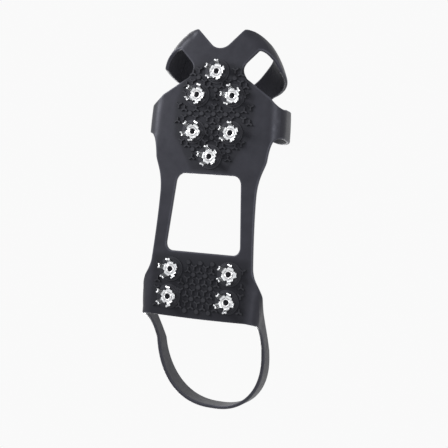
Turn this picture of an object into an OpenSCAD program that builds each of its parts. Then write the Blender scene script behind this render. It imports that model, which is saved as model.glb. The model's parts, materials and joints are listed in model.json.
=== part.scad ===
// Slip-on ice cleat: a rubber harness that stretches over a boot, with ten riveted steel star studs.
// Millimetres. +X points to the toe, +Y to the left, +Z up, and the stud tips stand on z = 0.

/* [Rubber] */
// Thickness of the sole plates and the arch rails
sole_t = 4; // [3:0.5:5]
// Thickness of the straps that go round the boot
strap_t = 3; // [2.5:0.25:3.5]
// Height of the round boss under each stud
boss_h = 1.5; // [1:0.25:2]
// Radius of the wide step of a boss
boss_r = 10.2; // [9.5:0.1:11]
// Radius of the narrow step of a boss
boss_top_r = 8.6; // [8.2:0.1:9]

/* [Boot that it stretches over] */
// Half width of the boot at the ball of the foot
ball_w = 56; // [52:1:58]
// Half width of the boot at the heel
heel_w = 50; // [48:1:52]
// Height of the boot over the sole where the toe strap crosses
toe_h = 64; // [58:1:70]
// How far the toe tip lies in front of the arch centre, before the stretch
toe_tip = 143; // [140:1:148]
// How far the back of the heel lies behind the arch centre, before the stretch
heel_back = 150; // [144:1:156]
// How much longer the boot pulls the harness than it is at rest
stretch = 1.1; // [1.05:0.01:1.12]

/* [Studs] */
// Thickness of the stamped star
star_t = 1.2; // [1:0.1:1.5]
// How far the star's points reach below its plate
prong_drop = 6.8; // [5:0.2:8]
// Radius at which the star's arms bend down
star_bend_r = 5.4; // [5:0.1:6]
// Radius of the rivet's shank
rivet_r = 2.7; // [2.5:0.1:2.8]
// Radius of the blind hole in the rivet's open end
rivet_hole_r = 2.1; // [1.8:0.1:2.2]
// Radius of the backing washer on the foot side
washer_r = 7; // [6:0.25:7.5]
// Thickness of the backing washer
washer_t = 0.9; // [0.7:0.1:1]

/* [Moving] */
// Share of the heel strap's run left free behind each root, so that the strap can be pulled back
pull_back_gap = 0.12; // [0.08:0.01:0.14]
// Angle of the vee cut between the two halves of an arch rail
rail_vee = 22; // [20:1:26]

/* [Hidden] */
STUD_NAMES = ["1", "2", "3", "4", "5", "6", "7", "8", "9", "10"];

rubber_colour = "#3b3b40";
steel_colour = "#c9ccd0";
smooth = 48;

// Heights
star_z = prong_drop;
boss_z = star_z + star_t;
plate_z = boss_z + boss_h;
foot_z = plate_z + sole_t;
washer_z = foot_z - 1.5;

// The arch centre lies this far in front of the middle of the whole harness
arch_x = 7.7;
// Clearance of a shank in the pieces that it is clenched in
fit = 0.05;
// Gap left between two plates or straps of the moulding where they are divided
seam = 0.05;

// Points of the plan, pulled longer by the boot
function worn(points) = [for (p = points) [stretch*p[0], p[1]]];
// Stud places before the stretch, from the arch centre: six under the forefoot, four under the heel
FORE_STUDS = [[106, 0], [88, 15.3], [88, -15.3], [60.5, 16.2], [60.5, -16.2], [42.3, 0]];
HEEL_STUDS = [[-43.2, 25.4], [-43.2, -25.4], [-63.7, 25.4], [-63.7, -25.4]];
STUDS = worn(concat(FORE_STUDS, HEEL_STUDS));
// Each star is riveted at a turn of its own
STAR_TURN = [8, -14, 22, 4, 31, -9, 17, -4, 27, 12];

// ---- plan of the flat rubber sole ----

rail_x = 24;
toe_bend_r = 8;
heel_bend_r = 6;
arm_front = 136.5;
arm_back = 122.4;
wing_front = 88;
wing_back = 41;
root_front = -38;
root_back = -78;
strap_rows = 4;

// Points of a cubic curve from a to d, with handles b and c
function curve(a, b, c, d, n = 8) = [for (i = [0:n]) cubic(a, b, c, d, i/n)];
function cubic(a, b, c, d, t) =
    let (s = 1 - t) s*s*s*a + 3*s*s*t*b + 3*s*t*t*c + t*t*t*d;
function mix(a, b, t) = a + (b - a)*t;
function mirrored(p) = [for (i = [len(p) - 1:-1:0]) [p[i][0], -p[i][1]]];

// Half width of the boot at x: full at the ball, then a rounded toe
function boot_w(x) = x <= 60 ? ball_w
    : ball_w*pow(1 - pow(min((x - 60)/(toe_tip - 60), 0.999), 2.6), 0.4545);
// Height of the boot at x above its sole
function boot_h(x) = (toe_h + 0.12*(90 - x))
    * pow(1 - pow(max(min((x - 50)/(toe_tip - 50), 0.999), 0), 3), 0.4545);
// Where the flat sole ends and the strap starts to bend up
function bend_edge(x) = boot_w(x) - toe_bend_r;
function edge_run(x0, x1) = [for (i = [0:strap_rows])
    let (x = mix(x0, x1, i/strap_rows)) [x, bend_edge(x) - seam]];

// Where the flat sole ends and the heel strap starts to bend up: the heel narrows to the rear
heel_turn_x = -100;
side_run = 60;
side_taper = 4;
function heel_edge(x) = heel_w - side_taper*(1 + (heel_turn_x - x)/side_run) - heel_bend_r;
HALF_PLAN = concat(
    [for (a = [180:-9:135]) [136 + 12*cos(a), 12*sin(a)]],
    edge_run(arm_front, arm_back),
    curve([114, 24.6], [109.5, 20], [106, 21.5], [101.5, 25.2]),
    edge_run(wing_front, wing_back),
    curve([39.5, bend_edge(39)], [33, 43], [27, 41.5], [16, 41.5]),
    curve([12, 41.5], [0, 41.5], [-14, 42.6], [-30, heel_edge(-30)]),
    [[root_front, heel_edge(root_front) - seam], [root_back, heel_edge(root_back) - seam]],
    [[-78.3, 30], [-78.6, 0]]);

// A rounded corner at p between edges that leave it along a and b
function corner(p, a, b, r = 6.5) =
    curve(p + r*a, p + 0.42*r*a, p + 0.42*r*b, p + r*b, 6);
window_front = [29.2, 27.6];
window_back = [-29.2, 32.6];
window_side = (window_back - window_front)/norm(window_back - window_front);
HALF_WINDOW = concat(
    corner(window_front, [0, -1], window_side),
    corner(window_back, -window_side, [0, -1]));

module plan() {
    difference() {
        polygon(worn(concat(HALF_PLAN, mirrored(HALF_PLAN))));
        polygon(worn(concat(HALF_WINDOW, mirrored(HALF_WINDOW))));
    }
}

// The part of the flat sole between x0 and x1, and between y0 and y1
module sole_slab(x0, x1, y0 = -100, y1 = 100) {
    translate([0, 0, plate_z]) linear_extrude(sole_t) intersection() {
        plan();
        translate([stretch*x0, y0]) square([stretch*(x1 - x0), y1 - y0]);
    }
}

module bosses(places) {
    for (p = places) {
        translate([p[0], p[1], boss_z]) cylinder(r = boss_top_r, h = boss_h + 1, $fn = smooth);
        translate([p[0], p[1], boss_z + 0.7]) cylinder(r = boss_r, h = boss_h, $fn = smooth);
    }
}

module stud_holes(places) {
    for (p = places) {
        translate([p[0], p[1], boss_z - 1])
            cylinder(r = rivet_r + fit, h = foot_z - boss_z + 2, $fn = smooth);
        translate([p[0], p[1], washer_z])
            cylinder(r = washer_r + 0.2, h = foot_z - washer_z + 1, $fn = smooth);
    }
}

module at_arch() {
    translate([arch_x, 0, 0]) children();
}

module forefoot_sole() {
    color(rubber_colour) at_arch() difference() {
        union() {
            sole_slab(rail_x, 150);
            bosses(worn(FORE_STUDS));
        }
        stud_holes(worn(FORE_STUDS));
    }
}

// The foot side of the heel plate has a shallow channel down its middle
channel_w = 24;
module heel_sole() {
    color(rubber_colour) at_arch() difference() {
        union() {
            sole_slab(-150, -rail_x);
            bosses(worn(HEEL_STUDS));
        }
        stud_holes(worn(HEEL_STUDS));
        translate([-90, -channel_w/2, foot_z - 0.8]) cube([70, channel_w, 2]);
    }
}

// Half of an arch rail. The rear halves are cut back in a vee that opens to the ice side.
module rail(side, rear) {
    y0 = side > 0 ? 1 : -100;
    y1 = side > 0 ? 100 : -1;
    color(rubber_colour) at_arch() difference() {
        if (rear) sole_slab(-rail_x + seam, -0.1, y0, y1);
        else sole_slab(0.1, rail_x - seam, y0, y1);
        if (rear) translate([-0.3, -60, foot_z]) rotate([0, 90 + rail_vee, 0])
            translate([-2, 0, 0]) cube([14, 120, 12]);
    }
}

// ---- straps ----

// A closed sheet between two grids of points, with cols + 1 runs of rows + 1 points in each
module sheet(inner, outer, rows, cols) {
    n = rows + 1;
    m = cols + 1;
    layer = n*m;
    function at(i, j) = i*n + j;
    cells = [for (i = [0:cols - 1]) for (j = [0:rows - 1]) [i, j]];
    polyhedron(points = concat(inner, outer), faces = concat(
        [for (c = cells) [at(c[0], c[1]), at(c[0] + 1, c[1]), at(c[0] + 1, c[1] + 1)]],
        [for (c = cells) [at(c[0], c[1]), at(c[0] + 1, c[1] + 1), at(c[0], c[1] + 1)]],
        [for (c = cells) layer*[1, 1, 1] + [at(c[0], c[1]), at(c[0] + 1, c[1] + 1), at(c[0] + 1, c[1])]],
        [for (c = cells) layer*[1, 1, 1] + [at(c[0], c[1]), at(c[0], c[1] + 1), at(c[0] + 1, c[1] + 1)]],
        [for (i = [0:cols - 1]) [at(i + 1, 0), at(i, 0), at(i, 0) + layer]],
        [for (i = [0:cols - 1]) [at(i + 1, 0), at(i, 0) + layer, at(i + 1, 0) + layer]],
        [for (i = [0:cols - 1]) [at(i, rows), at(i + 1, rows), at(i + 1, rows) + layer]],
        [for (i = [0:cols - 1]) [at(i, rows), at(i + 1, rows) + layer, at(i, rows) + layer]],
        [for (j = [0:rows - 1]) [at(0, j), at(0, j + 1), at(0, j + 1) + layer]],
        [for (j = [0:rows - 1]) [at(0, j), at(0, j + 1) + layer, at(0, j) + layer]],
        [for (j = [0:rows - 1]) [at(cols, j + 1), at(cols, j), at(cols, j) + layer]],
        [for (j = [0:rows - 1]) [at(cols, j + 1), at(cols, j) + layer, at(cols, j + 1) + layer]]));
}

round_power = 0.833;
// The boot's skin round the toe: s is 0 at the top and 1 where the strap meets the flat sole
function skin(x, s) =
    let (side = s < 0 ? -1 : 1, t = 90 - 180*abs(s), w = boot_w(x), h = boot_h(x), r = toe_bend_r)
    t < 0 ? [stretch*x, side*(w - r + r*cos(t)), r + r*sin(t)]
          : [stretch*x, side*w*pow(cos(t), round_power), r + (h - r)*pow(sin(t), round_power)];
function skin_normal(x, s) =
    let (c = cross(skin(x, s + 0.004) - skin(x, s - 0.004), skin(x - 0.4, s) - skin(x + 0.4, s)))
    c/norm(c);
// A strap is as thick as the sole where it leaves it, and thinner round the boot
function strap_depth(s) = mix(strap_t, sole_t, max(0, min(1, (abs(s) - 0.8)/0.2)));
function toe_point(x, s, depth) = skin(x, s) + depth*skin_normal(x, s) + [0, 0, foot_z];

// Edges of the toe strap as x against s: front edge, the two edges of the side opening, back edge
crotch = 0.14;
function bump(s, width) = exp(-pow(s/width, 2));
function front_edge(s) = let (u = 1 - abs(s))
    cubic(arm_front, 141, 120, 113, u) - 10*bump(s, 0.13);
function arm_inner(s) = cubic(arm_back, 122, 102, 95, (1 - abs(s))/(1 - crotch));
function wing_inner(s) = cubic(wing_front, 76, 80, 88, (1 - abs(s))/(1 - crotch));
function back_edge(s) = let (u = 1 - abs(s))
    59 - (59 - wing_back)*exp(-u/0.07) + 13*bump(s, 0.15);

// One arm of the toe strap, from the crossing down to the sole, on the side +1 or -1
arm_steps = 20;
module toe_arm(side, front) {
    s0 = crotch + 0.003;
    places = [for (i = [0:arm_steps]) for (j = [0:strap_rows])
        let (s = mix(s0, 1, i/arm_steps), k = j/strap_rows)
        [front ? mix(arm_inner(s), front_edge(s), k) : mix(back_edge(s), wing_inner(s), k), s]];
    inner = [for (p = places) toe_point(p[0], p[1], 0)];
    outer = [for (p = places) toe_point(p[0], p[1], strap_depth(p[1]))];
    color(rubber_colour) at_arch() mirror([0, side > 0 ? 0 : 1, 0])
        sheet(outer, inner, strap_rows, arm_steps);
}

// The crossing of the toe strap on top of the boot, with a round crotch on each side
cross_steps = 12;
cross_rows = 12;
module toe_cross() {
    places = [for (i = [0:cross_steps]) for (j = [0:cross_rows])
        let (k = j/cross_rows, c = 2*i/cross_steps - 1,
             nip = 0.025*max(0, 1 - pow((k - 0.5)/0.09, 2)),
             s = c*(crotch - 0.003 - nip))
        [mix(back_edge(s), front_edge(s), k), s]];
    inner = [for (p = places) toe_point(p[0], p[1], 0)];
    outer = [for (p = places) toe_point(p[0], p[1], strap_t)];
    color(rubber_colour) at_arch() sheet(outer, inner, cross_rows, cross_steps);
}

// The boot's skin round the heel: q runs back along the side (-1 to 0) and round the heel (0 to 1),
// and h runs up the side from the edge of the flat sole
heel_power = 0.87;
bend_run = heel_bend_r*PI/2;
function heel_skin(q, h) =
    let (a = min(h/bend_run, 1)*90,
         z = h < bend_run ? heel_bend_r*(1 - cos(a)) : h - bend_run + heel_bend_r,
         inset = heel_bend_r*(1 - sin(a)),
         turn = 90*max(q, 0), w = heel_w - side_taper)
    q < 0 ? [stretch*(heel_turn_x - side_run*q), w - side_taper*q - inset, z]
          : [stretch*(heel_turn_x - (heel_back + heel_turn_x)*pow(sin(turn), heel_power)),
             sign(cos(turn))*w*pow(abs(cos(turn)), heel_power), z];
function heel_normal(q, h) =
    let (c = cross(heel_skin(q + 0.006, h) - heel_skin(q - 0.006, h),
                   heel_skin(q, h + 0.3) - heel_skin(q, max(h - 0.3, 0))))
    c/norm(c);
root_front_q = (heel_turn_x - root_front)/side_run;
root_back_q = (heel_turn_x - root_back)/side_run;
// Lower and upper edge of the heel strap as [q, h] against v, from the sole (0) to the back (1)
function strap_low(v) = cubic([root_back_q, 0], [-0.30, 36], [0.25, 54], [1, 60], v);
function strap_high(v) = cubic([root_front_q, 0], [-0.35, 8], [-0.15, 78], [1, 84], v);
function heel_point(v, w, outer) =
    let (p = mix(strap_low(v), strap_high(v), w),
         depth = outer ? mix(sole_t, strap_t, min(1, p[1]/20)) : 0)
    heel_skin(p[0], p[1]) + depth*heel_normal(p[0], p[1]) + [0, 0, foot_z];

// The strap is free from its roots above this share of its run
root_share = 0.3;
heel_rows = 6;
band_steps = 18;
root_steps = 8;

module heel_strap() {
    spots = [for (i = [-band_steps:band_steps]) for (j = [0:heel_rows])
        [1 - abs(i)/band_steps*(1 - root_share - 0.01), j/heel_rows, i < 0 ? 1 : -1]];
    function both(outer) = [for (p = spots)
        let (a = heel_point(p[0], p[1], outer)) p[0] == 1 ? [a[0], 0, a[2]] : [a[0], p[2]*a[1], a[2]]];
    color(rubber_colour) at_arch() sheet(both(false), both(true), heel_rows, 2*band_steps);
}

// A root is cut back under the strap, most at its rear edge
module heel_root(side) {
    spots = [for (i = [0:root_steps]) for (j = [0:heel_rows]) let (w = j/heel_rows)
        [i/root_steps*(root_share - 0.01 - pull_back_gap*(1 - w)), w]];
    inner = [for (p = spots) heel_point(p[0], p[1], false)];
    outer = [for (p = spots) heel_point(p[0], p[1], true)];
    color(rubber_colour) at_arch() mirror([0, side > 0 ? 0 : 1, 0])
        sheet(inner, outer, heel_rows, root_steps);
}

// ---- studs ----

prong_lean = 18;
prong_w = 4.6;
prong_len = prong_drop/cos(prong_lean);
// Outline of a point of the star, bent down: its end is cut on the slant and nicked
PRONG = [[-0.8, -prong_w/2], [prong_len - 0.5, -1.7], [prong_len - 1.4, 0],
         [prong_len, 1.5], [-0.8, prong_w/2]];

module star_plan() {
    circle(r = 4.4, $fn = smooth);
    for (a = [0:72:288]) rotate(a)
        polygon([[2, -2.8], [star_bend_r, -prong_w/2], [star_bend_r, prong_w/2], [2, 2.8]]);
}

module star(i) {
    p = STUDS[i];
    color(steel_colour) at_arch() translate([p[0], p[1], 0]) rotate([0, 0, STAR_TURN[i]]) {
        difference() {
            union() {
                translate([0, 0, star_z]) linear_extrude(star_t) star_plan();
                for (a = [0:72:288]) rotate([0, 0, a])
                    translate([star_bend_r - 0.4, 0, star_z]) rotate([0, 90 - prong_lean, 0])
                        linear_extrude(star_t) polygon(PRONG);
            }
            translate([0, 0, star_z - 1]) cylinder(r = rivet_r + fit, h = star_t + 2, $fn = smooth);
        }
    }
}

// Semi-tubular rivet: a flared rim under the star and a low solid head over the washer
rim_r = 3.7;
module rivet(i) {
    p = STUDS[i];
    color(steel_colour) at_arch() translate([p[0], p[1], 0]) rotate_extrude($fn = smooth)
        polygon([[0, washer_z - 0.6], [rivet_hole_r, washer_z - 0.6], [rivet_hole_r, star_z - 0.5],
                 [rivet_hole_r + 0.8, star_z - 0.9], [rim_r - 0.2, star_z - 0.5], [rim_r, star_z],
                 [rivet_r, star_z], [rivet_r, washer_z + washer_t], [rim_r, washer_z + washer_t],
                 [rim_r - 0.2, foot_z], [0, foot_z]]);
}

module washer(i) {
    p = STUDS[i];
    color(steel_colour) at_arch() translate([p[0], p[1], washer_z]) rotate_extrude($fn = smooth)
        polygon([[rivet_r + fit, 0], [washer_r, 0], [washer_r, washer_t - 0.25], [washer_r - 0.4, washer_t],
                 [rivet_r + fit, washer_t]]);
}

forefoot_sole();
rail(1, false);  // left_rail_front
rail(-1, false);  // right_rail_front
toe_arm(1, true);  // toe_arm_front_left
toe_arm(-1, true);  // toe_arm_front_right
toe_arm(1, false);  // toe_arm_rear_left
toe_arm(-1, false);  // toe_arm_rear_right
toe_cross();
heel_sole();
rail(1, true);  // left_rail_rear
rail(-1, true);  // right_rail_rear
heel_root(1);  // heel_root_left
heel_root(-1);  // heel_root_right
heel_strap();
for (i = [0:len(STUDS) - 1]) {
    star(i);
    rivet(i);
    washer(i);
}
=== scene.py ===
import json
import math

import bmesh
import bpy
import numpy as np
from mathutils import Matrix, Vector
from mathutils.geometry import delaunay_2d_cdt


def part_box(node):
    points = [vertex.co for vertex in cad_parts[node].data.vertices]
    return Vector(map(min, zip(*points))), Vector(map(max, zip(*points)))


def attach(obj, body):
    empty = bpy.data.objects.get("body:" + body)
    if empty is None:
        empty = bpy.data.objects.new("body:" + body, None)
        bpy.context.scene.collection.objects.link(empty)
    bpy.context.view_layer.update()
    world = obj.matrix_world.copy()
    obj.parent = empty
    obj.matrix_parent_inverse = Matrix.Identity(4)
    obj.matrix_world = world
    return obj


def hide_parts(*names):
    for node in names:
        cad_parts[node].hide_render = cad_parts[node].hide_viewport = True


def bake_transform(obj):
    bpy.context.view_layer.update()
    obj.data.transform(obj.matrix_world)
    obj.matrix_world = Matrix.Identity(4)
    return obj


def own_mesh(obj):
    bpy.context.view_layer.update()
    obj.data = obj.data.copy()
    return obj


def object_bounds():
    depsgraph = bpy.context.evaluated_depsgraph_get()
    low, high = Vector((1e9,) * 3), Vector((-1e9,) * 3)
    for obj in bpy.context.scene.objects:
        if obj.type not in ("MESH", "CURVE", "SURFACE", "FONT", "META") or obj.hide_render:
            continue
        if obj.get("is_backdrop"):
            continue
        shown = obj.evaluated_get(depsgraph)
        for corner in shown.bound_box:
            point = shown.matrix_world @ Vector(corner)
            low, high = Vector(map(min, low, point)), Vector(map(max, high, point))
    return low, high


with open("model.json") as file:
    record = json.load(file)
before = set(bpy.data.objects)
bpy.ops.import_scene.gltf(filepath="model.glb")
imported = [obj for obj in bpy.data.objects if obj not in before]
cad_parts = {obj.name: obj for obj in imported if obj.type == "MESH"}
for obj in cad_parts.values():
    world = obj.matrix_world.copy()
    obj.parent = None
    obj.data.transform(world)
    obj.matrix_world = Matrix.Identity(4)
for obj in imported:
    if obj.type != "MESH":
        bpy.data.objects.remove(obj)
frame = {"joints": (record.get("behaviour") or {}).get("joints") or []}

cad_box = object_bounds()

# -------- sole of the harness
# The flat part of the harness: a studded plate under the ball of the foot, one under the heel, and
# the two arch rails between them. It is moulded in one shot of black thermoplastic rubber, 4 mm
# thick, with rounded edges, and its straps start to bend up at its sides.

MM = 0.001
foot_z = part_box("forefoot_sole")[1].z/MM
joint_places = {j["name"]: j.get("pos_m") for j in frame["joints"]}
arch_x = joint_places["arch_fold"][0]/MM

sole_t, strap_t = 4.0, 3.0
rubber_edge = 1.15
sole_pitch, strap_pitch, outline_gap = 2.6, 2.3, 1.5
# Plans are drawn before the boot pulls the harness, which makes it this much longer
stretch = 1.1

# The boot's half widths and its toe: its width and height start to fall at w_fall_x and h_fall_x,
# and before that its height is toe_h at toe_h_x and slopes by toe_slope
ball_w, heel_w = 56.0, 50.0
toe_h, toe_tip, heel_back = 64.0, 143.0, 150.0
w_fall_x, h_fall_x, toe_h_x, toe_slope = 60, 50, 90, 0.12
w_power, h_power, fall_power = 2.6, 3, 0.4545
toe_bend_r, heel_bend_r = 8.0, 6.0
skin_power, heel_power = 0.833, 0.87
# The boot's side tapers by side_taper over its last side_run before the heel's turn at heel_turn_x
heel_turn_x, side_run, side_taper = -100.0, 60.0, 4.0
heel_bend_run = heel_bend_r*math.pi/2
# The sole stays flat to its edges this far to each side of the arch's middle
arch_half = 30
# How far each parameter of a skin moves to take its slopes
toe_steps, heel_steps = (0.0005, 0.4), (0.006, 0.3)


def boot_w(x):
    """Half width of the boot at x: ball_w (1 - way^w_power)^fall_power, way being 1 at the toe tip."""
    way = np.clip((x - w_fall_x)/(toe_tip - w_fall_x), 0, 0.999)
    return ball_w*(1 - way**w_power)**fall_power


def boot_h(x):
    """Height of the boot over its sole at x, falling in the same way towards the toe tip."""
    way = np.clip((x - h_fall_x)/(toe_tip - h_fall_x), 0, 0.999)
    return (toe_h + toe_slope*(toe_h_x - x))*(1 - way**h_power)**fall_power


def toe_skin(x, s):
    """The boot's skin round the toe: s is 0 on top, 0.5 where the side bend starts and 1 at the flat sole.

    Over the side bend it is a superellipse, and below it a quarter circle of radius toe_bend_r."""
    t = np.radians(90 - 180*np.abs(s))
    side, w, h, r = np.sign(s), boot_w(x), boot_h(x), toe_bend_r
    up_cos, up_sin = np.cos(np.maximum(t, 0)), np.sin(np.maximum(t, 0))
    y = np.where(t < 0, w - r + r*np.cos(t), w*up_cos**skin_power)
    z = np.where(t < 0, r + r*np.sin(t), r + (h - r)*up_sin**skin_power)
    return np.stack([stretch*x, side*y, z], -1)


def heel_skin(q, h):
    """The boot's skin round the heel: q runs back along the side (-1 to 0) and round the heel (0 to 1).

    h is the way up from the flat sole, first round a quarter circle of radius heel_bend_r. The heel
    is round as a superellipse is: cos^p and sin^p of a quarter turn, with p = heel_power."""
    a = np.clip(h/heel_bend_run, 0, 1)*math.pi/2
    z = np.where(h < heel_bend_run, heel_bend_r*(1 - np.cos(a)), h - heel_bend_run + heel_bend_r)
    inset = heel_bend_r*(1 - np.sin(a))
    turn = np.maximum(q, 0)*math.pi/2
    w = heel_w - side_taper
    round_x = heel_turn_x - (heel_back + heel_turn_x)*np.sin(turn)**heel_power
    round_y = w*np.sign(np.cos(turn))*np.abs(np.cos(turn))**heel_power
    x = np.where(q < 0, heel_turn_x - side_run*q, round_x)
    y = np.where(q < 0, w - side_taper*q - inset, round_y)
    return np.stack([stretch*x, y, z], -1)


def unit(v):
    """Vectors divided by their lengths."""
    return v/np.maximum(np.linalg.norm(v, axis=-1, keepdims=True), 1e-9)


def off_skin(skin, a, b, da, db, depth):
    """Points at depth outside a skin(a, b): its normal is the cross product of its two slopes."""
    along = skin(a + da, b) - skin(a - da, b)
    across = skin(a, b + db) - skin(a, b - db)
    return skin(a, b) + np.asarray(depth)[..., None]*unit(np.cross(across, along))


def toe_point(x, s, depth):
    """Points of the toe strap, with the sign of s kept away from zero so that both halves meet."""
    s = np.where(np.abs(s) < 1e-4, 1e-4, s)
    p = off_skin(lambda u, v: toe_skin(v, u), s, x, *toe_steps, depth)
    return p + [arch_x, 0, foot_z]


def heel_point(q, h, depth):
    """Points of the heel strap; the cross product of its skin's slopes points inwards, hence -depth."""
    p = off_skin(heel_skin, q, h, *heel_steps, -np.asarray(depth))
    return p + [arch_x, 0, foot_z]


def flat_edge(x):
    """Half width of the flat sole at x, where the straps start to bend up."""
    heel_edge = heel_w - side_taper*(1 + (heel_turn_x - x)/side_run) - heel_bend_r
    return np.where(x > 0, boot_w(x) - toe_bend_r, heel_edge)


def sole_point(p, depth):
    """The flat plan p wrapped up round the boot past flat_edge; depth goes down from the foot side."""
    x, y = p[:, 0], p[:, 1]
    depth = np.broadcast_to(depth, x.shape)
    past = np.abs(y) - flat_edge(x)
    side = np.sign(y)
    flat = np.stack([stretch*x + arch_x, y, foot_z - depth], -1)
    up = np.maximum(past, 0.0)
    toe = toe_point(x, 1 - up/(toe_bend_r*math.pi), depth)
    heel = heel_point((heel_turn_x - x)/side_run, up, depth)
    toe[:, 1] *= side
    heel[:, 1] *= side
    bent = past > 1e-6
    at_toe, at_heel = bent & (x > arch_half), bent & (x < -arch_half)
    return np.where(at_toe[:, None], toe, np.where(at_heel[:, None], heel, flat))


def cubic(a, b, c, d, t):
    """A cubic Bezier curve at t: (1 - t)^3 a + 3 (1 - t)^2 t b + 3 (1 - t) t^2 c + t^3 d."""
    a, b, c, d = (np.asarray(v, float) for v in (a, b, c, d))
    t = np.asarray(t, float)[..., None] if a.ndim else np.asarray(t, float)
    return (1 - t)**3*a + 3*(1 - t)**2*t*b + 3*(1 - t)*t*t*c + t**3*d


def run_of(a, b, c, d, n=40):
    """n points along such a curve, from a to d."""
    return cubic(a, b, c, d, np.linspace(0, 1, n))


def circle(n):
    """n points of a circle of radius 1, anticlockwise from (1, 0)."""
    a = np.linspace(0, 2*math.pi, n, endpoint=False)
    return np.stack([np.cos(a), np.sin(a)], -1)


def turned_by(points, a):
    """Plan points turned by the angle a about the origin."""
    c, s = math.cos(a), math.sin(a)
    return points@np.array([[c, s], [-s, c]])


def way_along(path):
    """The distance along a path up to each of its points."""
    return np.r_[0, np.cumsum(np.linalg.norm(np.diff(path, axis=0), axis=1))]


def even(path, gap):
    """The same path with its points gap apart along it, keeping both ends."""
    path = np.asarray(path, float)
    way = way_along(path)
    want = np.linspace(0, way[-1], max(2, int(round(way[-1]/gap)) + 1))
    return np.stack([np.interp(want, way, path[:, i]) for i in range(path.shape[1])], -1)


# A cut's points stand wider apart than a rounded edge reaches in from its two ends
cut_gap = 3.2


def joined(pieces, gap):
    """One outline from (path, cut) pieces laid end to end, and which of its points lie on a cut."""
    points, cut = [], []
    for path, is_cut in pieces:
        step = even(path, cut_gap if is_cut else gap)
        if points and np.linalg.norm(points[-1][-1] - step[0]) < 1e-6:
            # two pieces share this point, and it is on the cut if either of them is one
            step = step[1:]
            if is_cut:
                cut[-1][-1] = True
        points.append(step)
        cut.append(np.full(len(step), is_cut))
    return np.concatenate(points), np.concatenate(cut)


def uncut(points):
    """A path or outline with no point on a cut."""
    return points, np.zeros(len(points), bool)


def mirrored(points, cut, flip=(1, -1), way=1):
    """A half outline and its mirror image as one closed outline, anticlockwise, or clockwise if way is -1.

    Its signed area is half the sum of the cross products of each point and the next."""
    back = slice(-2, 0, -1)
    points = np.concatenate([points, (points*flip)[back]])
    cut = np.concatenate([cut, cut[back]])
    if way*np.cross(points, np.roll(points, -1, 0)).sum() < 0:
        points, cut = points[::-1], cut[::-1]
    return points, cut


# Beside a cut's ends the step into the rubber leans along the cut, by a share that falls with each point
ease = ((1, 0.8), (2, 0.5), (3, 0.2))
# The least squared length of two edges' summed directions, which keeps the step short at a sharp corner
least_both = 1.6


def turned_in(loop, cut, to_space):
    """For each outline point, the step in the flat plan that goes 1 mm into the rubber, square to the edge.

    On a cut the outline stays, and at a cut's ends it goes along the cut, so that two skins meet there.
    The step (u, v) solves the 2 by 2 system of the plan's slopes: (du.du) u + (du.dv) v = du.inward."""
    here = to_space(loop, 0.0)
    step = 0.02
    du = (to_space(loop + [step, 0], 0.0) - to_space(loop - [step, 0], 0.0))/(2*step)
    dv = (to_space(loop + [0, step], 0.0) - to_space(loop - [0, step], 0.0))/(2*step)
    ahead = unit(np.roll(here, -1, 0) - here)
    behind = np.roll(ahead, 1, 0)
    up = unit(np.cross(du, dv))
    both = unit(np.cross(up, ahead)) + unit(np.cross(up, behind))
    inward = 2*both/np.maximum((both*both).sum(1, keepdims=True), least_both)
    first, last = cut & ~np.roll(cut, 1), cut & ~np.roll(cut, -1)
    for ends, along, away in ((first, ahead, -1), (last, -behind, 1)):
        for at in np.flatnonzero(ends):
            for apart, share in ease:
                near = (at + away*apart) % len(loop)
                inward[near] = share*along[at] + (1 - share)*inward[near]
    inward[cut] = 0
    inward[first] = ahead[first]
    inward[last] = -behind[last]
    uu, uv, vv = (du*du).sum(1), (du*dv).sum(1), (dv*dv).sum(1)
    pu, pv = (du*inward).sum(1), (dv*inward).sum(1)
    det = np.maximum(uu*vv - uv*uv, 1e-9)
    return np.stack([(pu*vv - pv*uv)/det, (pv*uu - pu*uv)/det], -1)


def batches(count, size=2000):
    """The numbers from 0 to count - 1 in batches of about size, so that no table of distances is huge."""
    return np.array_split(np.arange(count), max(1, count//size))


def inside(points, loops):
    """Which points lie inside the outlines: an even-odd count of the edges to their right."""
    odd = np.zeros(len(points), bool)
    for loop in loops:
        a, b = loop, np.roll(loop, -1, 0)
        for part in batches(len(points)):
            x, y = points[part, 0][:, None], points[part, 1][:, None]
            spans = (a[:, 1] > y) != (b[:, 1] > y)
            rise = np.where(np.abs(b[:, 1] - a[:, 1]) < 1e-12, 1e-12, b[:, 1] - a[:, 1])
            at = a[:, 0] + (y - a[:, 1])*(b[:, 0] - a[:, 0])/rise
            odd[part] ^= (spans & (x < at)).sum(1) % 2 == 1
    return odd


def nearest(points, others):
    """The distance from each point to the nearest of the others."""
    gaps = [((points[part][:, None] - others[None])**2).sum(2).min(1) for part in batches(len(points))]
    return np.sqrt(np.concatenate(gaps))


def from_outline(points, zone):
    """The distance from each point to a zone's outline."""
    return nearest(points, even(np.concatenate([zone, zone[:1]]), 1.0))


def lattice(low, high, pitch):
    """Rows of points at 60 degrees to each other, pitch apart."""
    rows = np.arange(low[0], high[0], pitch*math.sqrt(0.75))
    cols = np.arange(low[1], high[1], pitch)
    y, x = np.meshgrid(cols, rows)
    return np.stack([x, y + (np.arange(len(rows)) % 2)[:, None]*pitch/2], -1).reshape(-1, 2)


def linked(name, data):
    """A new object in the scene, with its data."""
    obj = bpy.data.objects.new(name, data)
    bpy.context.scene.collection.objects.link(obj)
    return obj


sharp_from = math.radians(38)


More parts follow.
